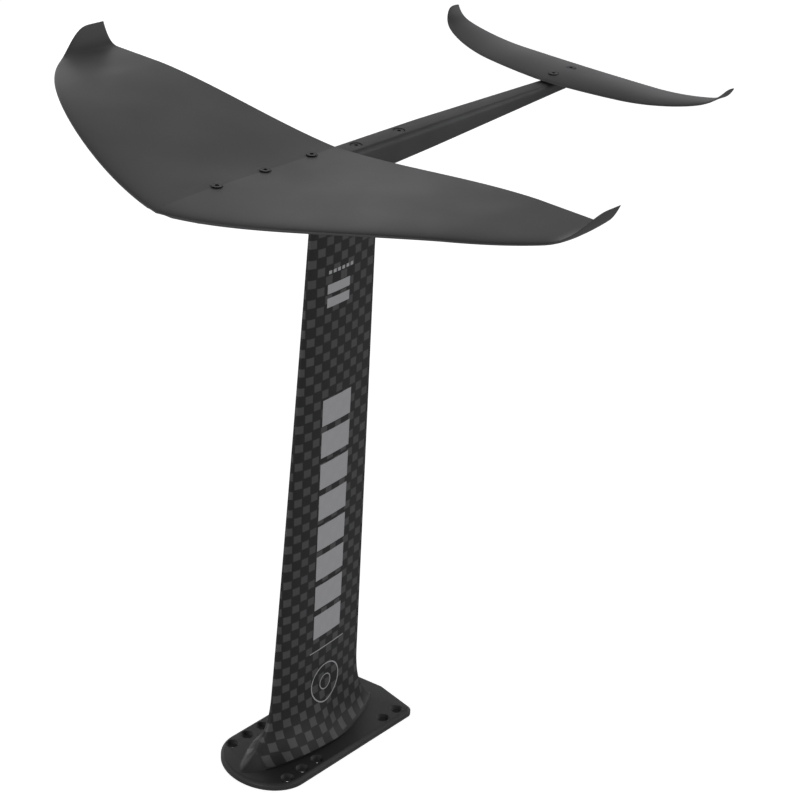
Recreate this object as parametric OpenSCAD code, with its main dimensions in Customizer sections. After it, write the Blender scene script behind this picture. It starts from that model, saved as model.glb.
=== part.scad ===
// Hydrofoil: mounting plate, mast, fuselage, front wing and tail wing, bolted together.
// Frame: origin on the plate's mounting face at the centre of its bolt pattern,
// +Z up the mast, -Y towards the nose, +X to one side. Millimetres.

/* [Base plate] */
// Width of the plate
plate_w = 116; // [112:1:124]
// Thickness of the plate
plate_t = 9; // [8:0.5:12]
// Height of the plate's upright edge below the bevel
plate_edge = 6; // [5:0.5:7]
// Bolt spacing across the plate
bolt_dx = 90; // [90]
// Bolt spacing along the plate, front row to rear row
bolt_dy = 165; // [165]
// Step between neighbouring bolt rows
bolt_pitch = 25; // [25]
// Clearance hole for the M8 board bolts
bolt_hole_d = 8.5; // [8.4:0.1:8.8]
// Mouth of each countersink
bolt_sink_d = 15.6; // [15:0.2:16]

/* [Mast] */
// Height of the fuselage's underside above the mounting face
mast_h = 711; // [640:1:820]
// Thickest part of the mast's section at the bottom
mast_t_low = 19; // [17:0.5:21]
// Thickest part of the mast's section at the top
mast_t_top = 14; // [13:0.5:15]
// Half width of the flared root where it meets the plate
root_half_w = 36; // [32:1:37]
// Height of the upright edge round the flared root
root_edge = 4; // [3:0.5:5]
// Height at which the flare has died away
root_flare_h = 92; // [80:1:120]

/* [Fuselage] */
// Height of the fuselage bar at the mast
fuselage_h = 30; // [29:0.5:32]
// Half width of the bar at the mast
fuselage_half_w = 15.2; // [14.8:0.2:15.4]
// Half width of the bar at the tail
fuselage_tail_half_w = 10.5; // [10:0.1:10.6]
// Rear end of the bar
fuselage_rear = 408; // [405:1:415]

/* [Front wing] */
// Tip-to-tip span
wing_span = 712; // [680:1:740]
// Chord at the centre
wing_chord = 249.4; // [248:0.2:251]
// Trailing edge position along Y
wing_te_y = -10.6; // [-11:0.2:-10]
// Thickness as a share of the chord
wing_thick_ratio = 0.063; // [0.061:0.001:0.066]
// Rise of the wing from its centre to the flat outer panel
wing_rise = 28.3; // [27:0.1:30]
// Rise of the curled tip above the outer panel
wing_tip_curl = 23.4; // [20:0.2:26]

/* [Tail wing] */
// Tip-to-tip span
tail_span = 400; // [390:1:410]
// Leading edge position along Y at the centre
tail_le_y = 339.2; // [338.8:0.2:339.8]
// Trailing edge position along Y
tail_te_y = 425; // [424.5:0.5:426]
// Thickness at the centre
tail_t = 7; // [6.8:0.1:7.2]

/* [Screws] */
// Thread diameter of the M6 screws
screw_d = 6; // [6]
// Head diameter of the countersunk M6 screws
screw_head_d = 11.6; // [11:0.2:12]
// Pitch of the three wing screws
wing_screw_pitch = 67; // [66:0.5:68]
// Pitch of the two tail screws
tail_screw_pitch = 33.4; // [32:0.2:34]

/* [Hidden] */
$fn = 48;
eps = 0.5;              // overrun of a cut past the face it opens
root_steps = 2;         // spanwise steps each side of the centre in a wing's root block
core_share = 0.8;       // core's share of a moulding's thickness, the rest is skin
hole_clear = 0.25;      // radial clearance of a through hole round a screw's shank

// Base plate
plate_half_w = plate_w / 2;
plate_bevel = plate_t - plate_edge;
nose_start_y = -83;     // where the plate's straight side meets the rounded nose
nose_len = 49;          // length of the rounded nose
rear_y = 120;           // rearmost point of the plate, in the middle of its shallow V
rear_slope = 0.147;     // how far the V falls back per millimetre out from the middle
corner_r = 10;          // radius of the rear corners
corner_steps = 5;
front_rows = [for (k = [0:2]) -bolt_dy / 2 - bolt_pitch / 2 + k * bolt_pitch];
rear_rows = [for (k = [0:1]) bolt_dy / 2 - bolt_pitch / 2 + k * bolt_pitch];
bolt_sites = [for (y = concat(front_rows, rear_rows)) for (s = [-1, 1]) [s * bolt_dx / 2, y]];

// Mast
mast_le_low = -83.5;    // leading edge carried down to the mounting face
mast_le_travel = 41;    // how far back the leading edge moves by the top
mast_le_bow = 0.15;     // share of that travel by which the edge bows back at mid height
mast_te_low = 67.3;     // trailing edge carried down to the mounting face
mast_te_travel = 9.3;   // how far forward the trailing edge moves by the top
mast_te_t = 1.6;        // thickness of the trailing edge
root_nose_y = -126;     // foremost point of the flared root
root_tail_y = 97;       // rearmost point of the flared root
root_z = plate_t;
rim_min = 0.4;          // root's edge where the flare runs smoothly out onto the plate
rim_front = [0.05, 0.25];   // share of the root's length over which the edge grows at the front
rim_rear = [0.45, 0.68];    // share of the root's length over which it dies away at the rear
blend_soft = 0.65;      // shape of the flare where it runs out onto the plate
nose_flare = [0.8, 2.55];   // shape of the flare along the leading edge
tail_flare = [0.8, 2.3];    // shape of the flare along the trailing edge
side_flare_power = 2.3;
root_front_power = 0.68;    // roundness of the root's plan ahead of its widest point
root_back_power = 0.95;     // and behind it
// each ring of the mast: how far up the flare it is, and its height if it's level
mast_rings = concat(
    [[0, root_z]],
    [for (t = [0, 0.03, 0.1, 0.2, 0.35, 0.55, 0.78]) [t, undef]],
    [for (t = [0, 0.2, 0.4, 0.6, 0.8, 1]) [1, root_flare_h + t * (mast_h - root_flare_h)]]);
mast_cols = 14;
spar_from = 6;          // chordwise stations between which the mast's spar lies
spar_to = 10;
tenon_half_t = 5.5;     // spar's tenon, let into the plate
tenon_y = [-60, -10];
tenon_depth = 5;
foot_half_t = 6.5;      // bar on top of the mast, let into the fuselage's underside
foot_y = [-42, 100];
foot_h = 16;
foot_web = 3;           // metal left under the foot's inserts
foot_screw_bite = 2;    // gap between a mast screw's end and its insert's bottom
foot_tang_half_t = 3;   // tang of that bar, bonded into the spar
foot_tang_y = [-15, 10];
foot_tang_depth = 40;

// Fuselage
fuselage_top = mast_h + fuselage_h;
fuselage_tail_drop = 2.2;
taper_from = 131;
taper_to = 352;
belly_from = 56;        // where the underside starts to rise towards the tail
belly_slope = 0.052;
nose_from = -150;       // where the front end starts to round off
nose_to = -222;
nose_rise = 16;
nose_half_w = 4;
top_edge_r = 6.2;
low_edge_r = 3.8;
wing_seat_half_w = 16;
tail_seat_half_w = 11;
wing_saddle_y0 = -100;  // raised seats that fill the space under each wing's rear half
wing_saddle_inset = 3;
wing_saddle_up = 5;
tail_saddle_y = [352, 400];
tail_saddle_inset = 2;
saddle_h = 10;
insert_floor = 2;       // metal left under the wing's inserts
tail_insert_floor = 1;
insert_sunk = 1.5;      // how far an insert stops short of the wing's face

// Front wing
wing_half = wing_span / 2;
wing_le_y = wing_te_y - wing_chord;
wing_sweep = 53;        // straight share of the leading edge's sweep
wing_ellipse = 171;     // rounded share of the leading edge's sweep
wing_tip_power = 1.862; // 2 makes the rounded share an ellipse, less a fuller tip
wing_le_z = mast_h + 29.4;
wing_incidence = 5.3;    // trailing edge above leading edge at the centre
wing_incidence_end = 273;
wing_rise_end = 262;
wing_rise_linear = 0.32;
wing_curl_from = 330.5;
wing_curl_power = 2.7;
wing_camber = -0.015;   // share of the chord, bowed towards the mast
wing_te_t = 0.9;
wing_spans = 12;
wing_cols = 12;
wing_solid_tip = 3;     // outer spanwise steps with no core
wing_screw_y0 = -180;
wing_screw_proud = 1.35;

// Tail wing
tail_half = tail_span / 2;
tail_sweep = 14.3;
tail_ellipse = 57.7;
tail_tip_power = 1.976;
tail_le_z = mast_h + 30.2;
tail_te_drop = 2.2;
tail_level_end = 255;
tail_curl_from = 94;
tail_curl_soft = 14;    // slow share of the curled tip's rise
tail_curl_hook = 11.7;  // quick share, close to the tip
tail_hook_power = 16.3;
tail_camber = 0.039;    // share of the chord, bowed away from the mast
tail_te_t = 0.9;
tail_spans = 10;
tail_cols = 10;
tail_solid_tip = 3;
tail_screw_y0 = 358;
tail_screw_proud = 0.4;

// Screws and inserts
screw_r = screw_d / 2;
head_r = screw_head_d / 2;
head_rim = 0.6;
socket_af = 4;
socket_depth = 2.6;
insert_r = 4.5;
mast_screw_ys = [21.4, 89];
mast_screw_sunk = 0.5;
screw_clear_up = 20;    // height cleared above a screw's head
screw_gap = 2;          // gap between a wing screw's end and its insert's bottom
tail_screw_gap = 1;
wing_screw_ys = [for (k = [0:2]) wing_screw_y0 + k * wing_screw_pitch];
tail_screw_ys = [for (k = [0:1]) tail_screw_y0 + k * tail_screw_pitch];

// ---- shared functions ----

function lerp(a, b, t) = a + (b - a) * t;
function clamp01(t) = min(1, max(0, t));
function smooth(t) = let (c = clamp01(t)) c * c * (3 - 2 * c);
// chordwise stations, close together at the leading edge
function chord_at(j, cols) = 1 - cos(90 * j / cols);
// spanwise stations, close together at the tips, with the seat's edge added
function span_half(half, steps, seat) =
    concat([seat], [for (k = [1:steps]) half * sin(90 * k / steps)]);
function span_full(half, steps, seat) =
    let (h = span_half(half, steps, seat))
    concat([for (k = [len(h) - 1:-1:0]) -h[k]], [0], h);
// symmetric section, 1 at its thickest
function foil(s) =
    10 * (0.2969 * sqrt(s) - 0.126 * s - 0.3516 * s * s + 0.2843 * pow(s, 3) - 0.1015 * pow(s, 4));

// how far back a rounded tip's edge has swept, 0 at the centre and 1 at the tip
function swept_in(u, power) = 1 - pow(1 - pow(u, power), 1 / power);

function mid_grid(a, b) =
    [for (i = [0:len(a) - 1]) [for (j = [0:len(a[0]) - 1]) (a[i][j] + b[i][j]) / 2]];
// inner face of a skin: the outer face drawn in towards the middle, closed outside the core
function inner_grid(a, m, i0, i1, j0, j1) =
    [for (i = [0:len(a) - 1]) [for (j = [0:len(a[0]) - 1])
        (i > i0 && i < i1 && j > j0 && j < j1) ? lerp(m[i][j], a[i][j], core_share) : m[i][j]]];

function tri(a, b, c) = (a == b || b == c || c == a) ? [] : [[a, b, c]];
function quad(p) = concat(tri(p[0], p[1], p[2]), tri(p[0], p[2], p[3]));

// One triangle of each grid over the same cell, left out where the grids meet
function cell(a, b) = a == b ? [] : [a, [b[0], b[2], b[1]]];

// Solid between two grids that share their rows and columns. Face "a" is on the
// side that row x column points to. Points where the grids meet are shared.
module slab(a, b, i0, i1, j0, j1) {
    cols = j1 - j0 + 1;
    count = (i1 - i0 + 1) * cols;
    points = concat([for (i = [i0:i1]) for (j = [j0:j1]) a[i][j]],
                    [for (i = [i0:i1]) for (j = [j0:j1]) b[i][j]]);
    pa = function(i, j) (i - i0) * cols + j - j0;
    pb = function(i, j) norm(a[i][j] - b[i][j]) < 0.0001 ? pa(i, j) : count + pa(i, j);
    faces = concat(
        [for (i = [i0:i1 - 1]) for (j = [j0:j1 - 1]) each concat(
            cell([pa(i, j), pa(i, j + 1), pa(i + 1, j + 1)],
                 [pb(i, j), pb(i, j + 1), pb(i + 1, j + 1)]),
            cell([pa(i, j), pa(i + 1, j + 1), pa(i + 1, j)],
                 [pb(i, j), pb(i + 1, j + 1), pb(i + 1, j)]))],
        [for (j = [j0:j1 - 1]) each concat(
            quad([pa(i0, j + 1), pa(i0, j), pb(i0, j), pb(i0, j + 1)]),
            quad([pa(i1, j), pa(i1, j + 1), pb(i1, j + 1), pb(i1, j)]))],
        [for (i = [i0:i1 - 1]) each concat(
            quad([pa(i + 1, j1), pa(i, j1), pb(i, j1), pb(i + 1, j1)]),
            quad([pa(i + 1, j0), pb(i + 1, j0), pb(i, j0), pa(i, j0)]))]);
    polyhedron(points, faces, convexity = 6);
}

// Solid through a stack of rings with the same number of points
module loft(rings) {
    n = len(rings[0]);
    last = len(rings) - 1;
    sides = [for (i = [0:last - 1]) for (k = [0:n - 1])
        each quad([i * n + k, (i + 1) * n + k, (i + 1) * n + (k + 1) % n, i * n + (k + 1) % n])];
    caps = [[for (k = [0:n - 1]) k], [for (k = [n - 1:-1:0]) last * n + k]];
    polyhedron([for (r = rings) each r], concat(sides, caps), convexity = 6);
}

// ---- base plate ----

function plate_outline(inset) =
    let (w = plate_half_w - inset, nose = nose_len - inset, r = corner_r - inset,
         slant = norm([1, rear_slope]), cx = plate_half_w - corner_r,
         cy = rear_y - rear_slope * cx - corner_r * slant,
         turn = 90 - atan(rear_slope),
         right = [for (k = [0:corner_steps])
             let (a = turn * k / corner_steps) [cx + r * cos(a), cy + r * sin(a)]],
         left = [for (k = [corner_steps:-1:0]) [-right[k][0], right[k][1]]],
         front = [for (a = [180:9:360]) [w * cos(a), nose_start_y + nose * sin(a)]])
    concat(right, [[0, rear_y - inset * slant]], left, front);

function raised(outline, z) = [for (p = outline) [p[0], p[1], z]];

module base_plate() {
    color("#2b2c2e") difference() {
        loft([raised(plate_outline(0), 0), raised(plate_outline(0), plate_edge),
              raised(plate_outline(plate_bevel), plate_t)]);
        for (p = bolt_sites) translate([p[0], p[1], 0]) {
            translate([0, 0, -eps]) cylinder(d = bolt_hole_d, h = plate_t + 2 * eps);
            sink = (bolt_sink_d - bolt_hole_d) / 2;
            translate([0, 0, plate_t - sink])
                cylinder(d1 = bolt_hole_d, d2 = bolt_sink_d, h = sink);
        }
        spar_tenon();
    }
}

// ---- mast ----

// how far the flare still reaches out: 1 at the root's edge, 0 at the flare's top
function flare(t, shape) = pow(1 - pow(t, shape[0]), shape[1]);
// 1 where the root has an upright edge, 0 where it runs out onto the plate
function ease(range, s) = smooth((s - range[0]) / (range[1] - range[0]));
function rim(s) = ease(rim_front, s) * (1 - ease(rim_rear, s));
function ring_z(ring, s) = is_undef(ring[1])
    ? lerp(root_z + lerp(rim_min, root_edge, rim(s)), root_flare_h, ring[0])
    : ring[1];
function mast_le(z, t) = let (up = z / mast_h)
    lerp(mast_le_low + mast_le_travel * up * (1 + mast_le_bow * (1 - up)), root_nose_y,
         flare(t, nose_flare));
function mast_te(z, t) =
    lerp(mast_te_low - mast_te_travel * z / mast_h, root_tail_y, flare(t, tail_flare));
// plan of the flared root, 1 at its widest
function root_plan(s) =
    pow(1 - pow(1 - 2 * s, 2), s < 0.5 ? root_front_power : root_back_power);
function mast_half_t(z, t, s) =
    let (body = lerp(mast_t_low, mast_t_top, z / mast_h) / 2,
         shape = [lerp(blend_soft, 1, rim(s)), side_flare_power])
    lerp(body * foil(s), root_half_w * root_plan(s), flare(t, shape)) + mast_te_t / 2 * s;
function mast_side(side) =
    [for (ring = mast_rings) [for (j = [0:mast_cols])
        let (s = chord_at(j, mast_cols), t = ring[0], z = ring_z(ring, s))
        [side * mast_half_t(z, t, s), lerp(mast_le(z, t), mast_te(z, t), s), z]]];

mast_rows = len(mast_rings) - 1;
mast_left = mast_side(-1);
mast_right = mast_side(1);
mast_mid = mid_grid(mast_left, mast_right);
mast_left_in = inner_grid(mast_left, mast_mid, -1, mast_rows + 1, 1, mast_cols - 1);
mast_right_in = inner_grid(mast_right, mast_mid, -1, mast_rows + 1, 1, mast_cols - 1);

module mast_left_skin() {
    color("#3a3b3d") slab(mast_left, mast_left_in, 0, mast_rows, 0, mast_cols);
}

module mast_right_skin() {
    color("#3a3b3d") slab(mast_right_in, mast_right, 0, mast_rows, 0, mast_cols);
}

module mast_core_part(j0, j1) {
    slab(mast_left_in, mast_right_in, 0, mast_rows, j0, j1);
}

module mast_nose_core() {
    color("#c9b889") mast_core_part(1, spar_from);
}

module mast_tail_core() {
    color("#c9b889") mast_core_part(spar_to, mast_cols - 1);
}

module spar_tenon() {
    translate([-tenon_half_t, tenon_y[0], root_z - tenon_depth])
        cube([2 * tenon_half_t, tenon_y[1] - tenon_y[0], tenon_depth + 1]);
}

module foot_tang(extra) {
    translate([-foot_tang_half_t, foot_tang_y[0], mast_h - foot_tang_depth])
        cube([2 * foot_tang_half_t, foot_tang_y[1] - foot_tang_y[0], foot_tang_depth + extra]);
}

module mast_spar() {
    color("#232426") difference() {
        union() {
            mast_core_part(spar_from, spar_to);
            spar_tenon();
        }
        foot_tang(eps);
    }
}

// the bar's underside sits on the mast, then follows the fuselage's belly; "under" lowers it
module foot_bar(under) {
    rotate([90, 0, 90]) translate([0, 0, -foot_half_t]) linear_extrude(2 * foot_half_t)
        polygon([[foot_y[0], mast_h - under], [belly_from, mast_h - under],
                 [foot_y[1], fuselage_low(foot_y[1]) - under],
                 [foot_y[1], mast_h + foot_h], [foot_y[0], mast_h + foot_h]]);
}

module mast_foot() {
    color("#8d9094") difference() {
        union() {
            foot_bar(0);
            foot_tang(1);
        }
        for (y = mast_screw_ys) translate([0, y, mast_h + foot_web])
            cylinder(r = insert_r, h = foot_h);
    }
}

module mast_foot_inserts() {
    color("#b9bcc0") for (y = mast_screw_ys) translate([0, y, 0])
        threaded_insert(mast_h + foot_web, mast_h + foot_h);
}

module mast_screws() {
    color("#1c1c1d") for (y = mast_screw_ys) translate([0, y, 0])
        screw(fuselage_top - mast_screw_sunk, mast_h + foot_web + foot_screw_bite);
}

// ---- screws and inserts ----

module threaded_insert(z0, z1) {
    translate([0, 0, z0]) difference() {
        cylinder(r = insert_r, h = z1 - z0);
        translate([0, 0, -eps]) cylinder(r = screw_r, h = z1 - z0 + 2 * eps);
    }
}

// countersunk screw with its head's top at z_top and its end at z_end
module screw(z_top, z_end) {
    cone = head_r - screw_r;
    difference() {
        union() {
            translate([0, 0, z_top - head_rim]) cylinder(r = head_r, h = head_rim);
            translate([0, 0, z_top - head_rim - cone]) cylinder(r1 = screw_r, r2 = head_r, h = cone);
            translate([0, 0, z_end]) cylinder(r = screw_r, h = z_top - head_rim - z_end);
        }
        translate([0, 0, z_top - socket_depth])
            cylinder(d = socket_af / cos(30), h = socket_depth + eps, $fn = 6);
    }
}

// the space a screw's head and shank take up, cut from what it clamps
module screw_space(z_top, z_end) {
    cone = head_r - screw_r;
    translate([0, 0, z_top - head_rim]) cylinder(r = head_r, h = screw_clear_up);
    translate([0, 0, z_top - head_rim - cone]) cylinder(r1 = screw_r, r2 = head_r, h = cone);
    translate([0, 0, z_end]) cylinder(r = screw_r + hole_clear, h = z_top - head_rim - cone - z_end);
}

// ---- front wing ----

function wing_chord_y(x, s) =
    let (u = min(1, abs(x) / wing_half),
         le = wing_le_y + wing_sweep * u + wing_ellipse * swept_in(u, wing_tip_power))
    lerp(le, wing_te_y, s);
function wing_chord_z(x, s) =
    let (a = abs(x), t = clamp01(a / wing_rise_end),
         rise = wing_rise * (wing_rise_linear * t + (1 - wing_rise_linear) * smooth(t)),
         c = max(0, (a - wing_curl_from) / (wing_half - wing_curl_from)),
         lift = wing_incidence * (1 - smooth(a / wing_incidence_end)))
    wing_le_z + rise + wing_tip_curl * pow(c, wing_curl_power) + lift * s;
function wing_point(x, s, side) =
    let (chord = wing_chord_y(x, 1) - wing_chord_y(x, 0),
         half = chord * wing_thick_ratio / 2 * foil(s) + wing_te_t / 2 * s)
    [wing_chord_y(x, s), wing_chord_z(x, s) + chord * wing_camber * 4 * s * (1 - s) + side * half];

wing_xs = span_full(wing_half, wing_spans, wing_seat_half_w);
wing_rows = len(wing_xs) - 1;
wing_up = [for (x = wing_xs) [for (j = [0:wing_cols])
    let (p = wing_point(x, chord_at(j, wing_cols), 1)) [x, p[0], p[1]]]];
// the lower face doesn't change across the fuselage's seat
wing_low = [for (x = wing_xs) [for (j = [0:wing_cols])
    let (p = wing_point(j == 0 ? x : max(abs(x), wing_seat_half_w), chord_at(j, wing_cols), -1))
    [x, p[0], p[1]]]];
wing_mid = mid_grid(wing_up, wing_low);
wing_up_in = inner_grid(wing_up, wing_mid, wing_solid_tip, wing_rows - wing_solid_tip,
                        1, wing_cols - 1);
wing_low_in = inner_grid(wing_low, wing_mid, wing_solid_tip, wing_rows - wing_solid_tip,
                         1, wing_cols - 1);

function wing_top_z(y) = wing_point(0, (y - wing_le_y) / wing_chord, 1)[1];

module wing_screw_spaces() {
    for (y = wing_screw_ys) translate([0, y, 0])
        screw_space(wing_top_z(y) + wing_screw_proud, mast_h - eps);
}

module front_wing_upper_skin() {
    color("#545456") difference() {
        slab(wing_up, wing_up_in, 0, wing_rows, 0, wing_cols);
        wing_screw_spaces();
    }
}

module front_wing_lower_skin() {
    color("#4c4c4e") difference() {
        slab(wing_low_in, wing_low, 0, wing_rows, 0, wing_cols);
        wing_screw_spaces();
    }
}

module wing_core_part(i0, i1) {
    slab(wing_up_in, wing_low_in, i0, i1, 1, wing_cols - 1);
}

module front_wing_root_block() {
    color("#232426") difference() {
        wing_core_part(wing_rows / 2 - root_steps, wing_rows / 2 + root_steps);
        wing_screw_spaces();
    }
}

module front_wing_left_core() {
    color("#c9b889") wing_core_part(wing_solid_tip, wing_rows / 2 - root_steps);
}

module front_wing_right_core() {
    color("#c9b889") wing_core_part(wing_rows / 2 + root_steps, wing_rows - wing_solid_tip);
}

module wing_screws() {
    color("#1c1c1d") for (y = wing_screw_ys) translate([0, y, 0])
        screw(wing_top_z(y) + wing_screw_proud, mast_h + insert_floor + screw_gap);
}

// ---- tail wing ----

function tail_chord_y(x, s) =
    let (u = min(1, abs(x) / tail_half),
         le = tail_le_y + tail_sweep * u + tail_ellipse * swept_in(u, tail_tip_power))
    lerp(le, tail_te_y, s);
function tail_chord_z(x, s) =
    let (c = max(0, (abs(x) - tail_curl_from) / (tail_half - tail_curl_from)),
         drop = tail_te_drop * (1 - smooth(abs(x) / tail_level_end)))
    tail_le_z + tail_curl_soft * c * c + tail_curl_hook * pow(c, tail_hook_power) - drop * s;
function tail_point(x, s, side) =
    let (chord = tail_chord_y(x, 1) - tail_chord_y(x, 0),
         half = tail_t / 2 * chord / (tail_te_y - tail_le_y) * foil(s) + tail_te_t / 2 * s)
    [tail_chord_y(x, s), tail_chord_z(x, s) + chord * tail_camber * 4 * s * (1 - s) + side * half];

tail_xs = span_full(tail_half, tail_spans, tail_seat_half_w);
tail_rows = len(tail_xs) - 1;
tail_up = [for (x = tail_xs) [for (j = [0:tail_cols])
    let (p = tail_point(x, chord_at(j, tail_cols), 1)) [x, p[0], p[1]]]];
tail_low = [for (x = tail_xs) [for (j = [0:tail_cols])
    let (p = tail_point(j == 0 ? x : max(abs(x), tail_seat_half_w), chord_at(j, tail_cols), -1))
    [x, p[0], p[1]]]];
tail_mid = mid_grid(tail_up, tail_low);
tail_up_in = inner_grid(tail_up, tail_mid, tail_solid_tip, tail_rows - tail_solid_tip,
                        1, tail_cols - 1);
tail_low_in = inner_grid(tail_low, tail_mid, tail_solid_tip, tail_rows - tail_solid_tip,
                         1, tail_cols - 1);

function tail_top_z(y) = tail_point(0, (y - tail_le_y) / (tail_te_y - tail_le_y), 1)[1];

module tail_screw_spaces() {
    for (y = tail_screw_ys) translate([0, y, 0])
        screw_space(tail_top_z(y) + tail_screw_proud, mast_h - eps);
}

module tail_wing_upper_skin() {
    color("#545456") difference() {
        slab(tail_up, tail_up_in, 0, tail_rows, 0, tail_cols);
        tail_screw_spaces();
    }
}

module tail_wing_lower_skin() {
    color("#4c4c4e") difference() {
        slab(tail_low_in, tail_low, 0, tail_rows, 0, tail_cols);
        tail_screw_spaces();
    }
}

module tail_core_part(i0, i1) {
    slab(tail_up_in, tail_low_in, i0, i1, 1, tail_cols - 1);
}

module tail_wing_root_block() {
    color("#232426") difference() {
        tail_core_part(tail_rows / 2 - root_steps, tail_rows / 2 + root_steps);
        tail_screw_spaces();
    }
}

module tail_wing_left_core() {
    color("#c9b889") tail_core_part(tail_solid_tip, tail_rows / 2 - root_steps);
}

module tail_wing_right_core() {
    color("#c9b889") tail_core_part(tail_rows / 2 + root_steps, tail_rows - tail_solid_tip);
}

module tail_screws() {
    color("#1c1c1d") for (y = tail_screw_ys) translate([0, y, 0])
        screw(tail_top_z(y) + tail_screw_proud, fuselage_low(y) + tail_insert_floor + tail_screw_gap);
}

// ---- fuselage ----

function nose_turn(y) = sqrt(1 - pow(clamp01((nose_from - y) / (nose_from - nose_to)), 2));
function fuselage_low(y) =
    mast_h + belly_slope * max(0, y - belly_from) + nose_rise * (1 - nose_turn(y));
function fuselage_high(y) =
    fuselage_top - fuselage_tail_drop * clamp01((y - taper_from) / (taper_to - taper_from));
function fuselage_wide(y) =
    lerp(lerp(nose_half_w, fuselage_half_w, nose_turn(y)), fuselage_tail_half_w,
         clamp01((y - taper_from) / (taper_to - taper_from)));
// rounded rectangle, walked round with its four corners as arcs
function fuselage_ring(y, shrink) =
    let (w = fuselage_wide(y) - shrink, z0 = fuselage_low(y) + shrink, z1 = fuselage_high(y) - shrink,
         rt = top_edge_r * fuselage_wide(y) / fuselage_half_w,
         rb = low_edge_r * fuselage_wide(y) / fuselage_half_w,
         corners = [[w - rb, z0 + rb, rb, 0], [rb - w, z0 + rb, rb, -90],
                    [rt - w, z1 - rt, rt, -180], [w - rt, z1 - rt, rt, -270]])
    [for (c = corners) for (a = [0:22.5:90])
        [c[0] + c[2] * cos(c[3] - a), y, c[1] + c[2] * sin(c[3] - a)]];

rear_edge = 3;          // length of the chamfered rear end
fuselage_ys = concat([for (a = [90:-18:0]) nose_from - (nose_from - nose_to) * sin(a)],
                     [belly_from, taper_from, taper_to, fuselage_rear - rear_edge]);

// wedge of space above a wing's lower face, drawn across the seat
module seat_space(low_row, half_w, z_top) {
    last = len(low_row) - 1;
    rotate([90, 0, 90]) translate([0, 0, -half_w]) linear_extrude(2 * half_w)
        polygon(concat([for (p = low_row) [p[1], p[2]]],
                       [[low_row[last][1], z_top], [low_row[0][1], z_top]]));
}

module saddle(half_w, y0, y1, top) {
    translate([-half_w, y0, top - saddle_h]) cube([2 * half_w, y1 - y0, saddle_h]);
}

module fuselage() {
    wing_seat_row = [for (j = [1:wing_cols]) wing_low[wing_rows / 2][j]];
    tail_seat_row = [for (j = [1:tail_cols]) tail_low[tail_rows / 2][j]];
    seat_top = fuselage_top + fuselage_h;
    color("#3f4042") difference() {
        union() {
            loft(concat([for (y = fuselage_ys) fuselage_ring(y, 0)],
                        [fuselage_ring(fuselage_rear, rear_edge / 2)]));
            saddle(fuselage_half_w - wing_saddle_inset, wing_saddle_y0, wing_te_y,
                   fuselage_top + wing_saddle_up);
            saddle(fuselage_tail_half_w - tail_saddle_inset, tail_saddle_y[0], tail_saddle_y[1],
                   fuselage_top);
        }
        seat_space(wing_seat_row, wing_seat_half_w, seat_top);
        seat_space(tail_seat_row, tail_seat_half_w, seat_top);
        foot_bar(eps);
        for (y = mast_screw_ys) translate([0, y, 0])
            screw_space(fuselage_top - mast_screw_sunk, mast_h + foot_h - eps);
        for (y = wing_screw_ys) translate([0, y, mast_h + insert_floor])
            cylinder(r = insert_r, h = fuselage_h);
        for (y = tail_screw_ys) translate([0, y, fuselage_low(y) + tail_insert_floor])
            cylinder(r = insert_r, h = fuselage_h);
    }
}

// top of an insert, just under the wing's face above it
function insert_top(row, y) =
    lookup(y, [for (j = [1:len(row) - 1]) [row[j][1], row[j][2]]]) - insert_sunk;

module fuselage_wing_inserts() {
    color("#b9bcc0") for (y = wing_screw_ys) translate([0, y, 0])
        threaded_insert(mast_h + insert_floor, insert_top(wing_low[wing_rows / 2], y));
}

module fuselage_tail_inserts() {
    color("#b9bcc0") for (y = tail_screw_ys) translate([0, y, 0])
        threaded_insert(fuselage_low(y) + tail_insert_floor, insert_top(tail_low[tail_rows / 2], y));
}

base_plate();
mast_left_skin();
mast_right_skin();
mast_nose_core();
mast_spar();
mast_tail_core();
mast_foot();
mast_foot_inserts();
mast_screws();
fuselage();
fuselage_wing_inserts();
fuselage_tail_inserts();
front_wing_upper_skin();
front_wing_lower_skin();
front_wing_root_block();
front_wing_left_core();
front_wing_right_core();
wing_screws();
tail_wing_upper_skin();
tail_wing_lower_skin();
tail_wing_root_block();
tail_wing_left_core();
tail_wing_right_core();
tail_screws();
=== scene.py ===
"""Looks for a hydrofoil's plate, mast, fuselage and two wings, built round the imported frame.

Sizes are in millimetres, as in the CAD model, and become metres when a mesh is made.
The wings, the mast, the fuselage and the plate are rebuilt here as smooth surfaces of the
same shape; the screws, inserts and cores stay as the CAD model has them.
"""
import math

import bmesh
import bpy
from mathutils import Matrix, Vector


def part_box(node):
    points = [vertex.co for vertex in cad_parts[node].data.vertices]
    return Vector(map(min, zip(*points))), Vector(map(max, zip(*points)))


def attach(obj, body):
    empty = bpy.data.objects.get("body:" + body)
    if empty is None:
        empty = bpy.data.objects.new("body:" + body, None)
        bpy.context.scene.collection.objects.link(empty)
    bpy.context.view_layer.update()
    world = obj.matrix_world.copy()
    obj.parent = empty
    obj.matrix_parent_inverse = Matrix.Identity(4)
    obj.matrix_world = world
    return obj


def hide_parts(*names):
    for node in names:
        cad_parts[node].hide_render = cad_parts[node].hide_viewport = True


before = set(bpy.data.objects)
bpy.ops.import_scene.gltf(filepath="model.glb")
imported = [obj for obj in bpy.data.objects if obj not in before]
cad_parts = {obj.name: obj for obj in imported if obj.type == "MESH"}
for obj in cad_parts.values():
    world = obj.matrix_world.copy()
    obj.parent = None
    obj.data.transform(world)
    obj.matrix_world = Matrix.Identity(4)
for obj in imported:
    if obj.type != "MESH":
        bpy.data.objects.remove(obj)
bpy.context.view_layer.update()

MM = 0.001


def box_mm(node):
    """Lowest and highest corner of a CAD node, in millimetres."""
    low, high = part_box(node)
    return low / MM, high / MM


# ---- sizes from the frame ----

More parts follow.
